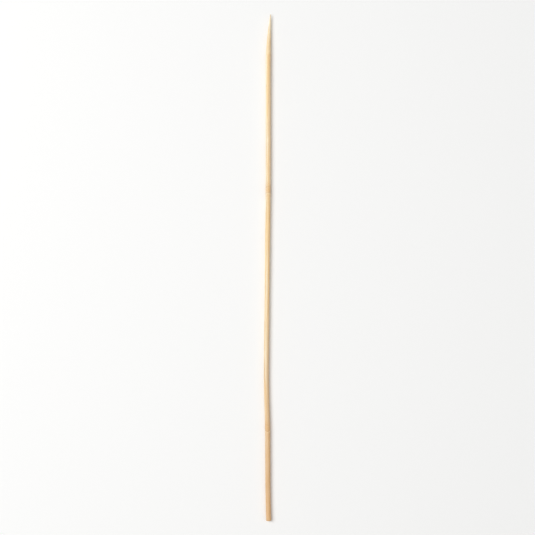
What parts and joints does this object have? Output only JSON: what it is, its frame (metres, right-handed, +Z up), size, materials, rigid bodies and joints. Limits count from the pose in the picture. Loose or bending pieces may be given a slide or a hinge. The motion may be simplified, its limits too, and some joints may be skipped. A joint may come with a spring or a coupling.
{
  "type": "bamboo skewer",
  "caption": "Slim round bamboo stick with a long ground point and a sawn butt, for threading and grilling small pieces of food.",
  "frame": {"origin": "on the surface that the skewer lies on, under the middle of its box", "axes": "+Y along the stick towards the point, +X to the side that the tip leans to, +Z up"},
  "size_m": [0.0044, 0.3, 0.0031],
  "materials": {
    "bamboo": "planed dry bamboo, pale straw with fine fibres along it, matt with a faint sheen"
  },
  "bodies": {
    "root": {"skewer": "bamboo"}
  },
  "joints": []
}
